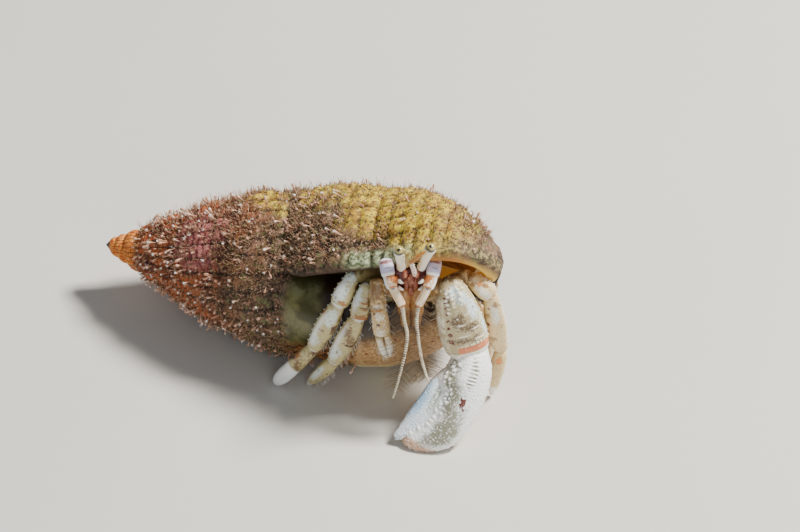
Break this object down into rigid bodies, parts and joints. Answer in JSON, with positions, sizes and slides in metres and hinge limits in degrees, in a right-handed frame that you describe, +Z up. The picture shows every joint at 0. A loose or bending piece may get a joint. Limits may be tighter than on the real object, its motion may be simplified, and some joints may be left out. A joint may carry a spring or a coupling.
{
  "type": "hermit crab in a whelk shell",
  "caption": "Life-size still model of a hermit crab with one large claw, leaning out of an overgrown spired sea-snail shell.",
  "frame": {"origin": "centre of the small flat on the underside of the snail shell, on the floor", "axes": "+Z up, +X from the shell's spire towards its base (the crab's left), -Y the way the crab looks out of the shell's mouth"},
  "size_m": [0.029, 0.0193, 0.0157],
  "materials": {
    "whelk_shell": "rough, overgrown",
    "crab_cuticle": "hard skin, satin",
    "claw_cuticle": "hard, finely knobbed, satin",
    "leg_cuticle": "hard skin, satin",
    "eyestalk": "smooth, satin",
    "eye_cornea": "wet gloss",
    "feeler": "ringed, satin",
    "soft_skin": "soft, matt"
  },
  "bodies": {
    "root": {"snail_shell": "whelk_shell", "shield": "crab_cuticle", "thorax": "crab_cuticle", "maxilliped_right": "crab_cuticle", "maxilliped_left": "crab_cuticle", "abdomen": "soft_skin", "eyestalk_right": "eyestalk", "eyestalk_left": "eyestalk", "eye_right": "eye_cornea", "eye_left": "eye_cornea", "antennule_right": "feeler", "antennule_left": "feeler", "antenna_base_right": "feeler", "antenna_elbow_right": "feeler", "antenna_stem_right": "feeler", "antenna_whip_right": "feeler", "antenna_base_left": "feeler", "antenna_elbow_left": "feeler", "antenna_stem_left": "feeler", "antenna_whip_left": "feeler", "big_claw_merus": "claw_cuticle", "big_claw_carpus": "claw_cuticle", "big_claw_palm": "claw_cuticle", "big_claw_finger": "claw_cuticle", "small_claw_merus": "leg_cuticle", "small_claw_carpus": "leg_cuticle", "small_claw_palm": "leg_cuticle", "small_claw_fixed_finger": "leg_cuticle", "small_claw_finger": "leg_cuticle", "right_leg_1_merus": "leg_cuticle", "right_leg_1_carpus": "leg_cuticle", "right_leg_1_propodus": "leg_cuticle", "right_leg_1_dactyl": "leg_cuticle", "right_leg_2_merus": "leg_cuticle", "right_leg_2_carpus": "leg_cuticle", "right_leg_2_propodus": "leg_cuticle", "right_leg_2_dactyl": "leg_cuticle", "left_leg_1_merus": "leg_cuticle", "left_leg_1_carpus": "leg_cuticle", "left_leg_1_propodus": "leg_cuticle", "left_leg_1_dactyl": "leg_cuticle", "left_leg_2_merus": "leg_cuticle", "left_leg_2_carpus": "leg_cuticle", "left_leg_2_propodus": "leg_cuticle", "left_leg_2_dactyl": "leg_cuticle"}
  },
  "joints": []
}
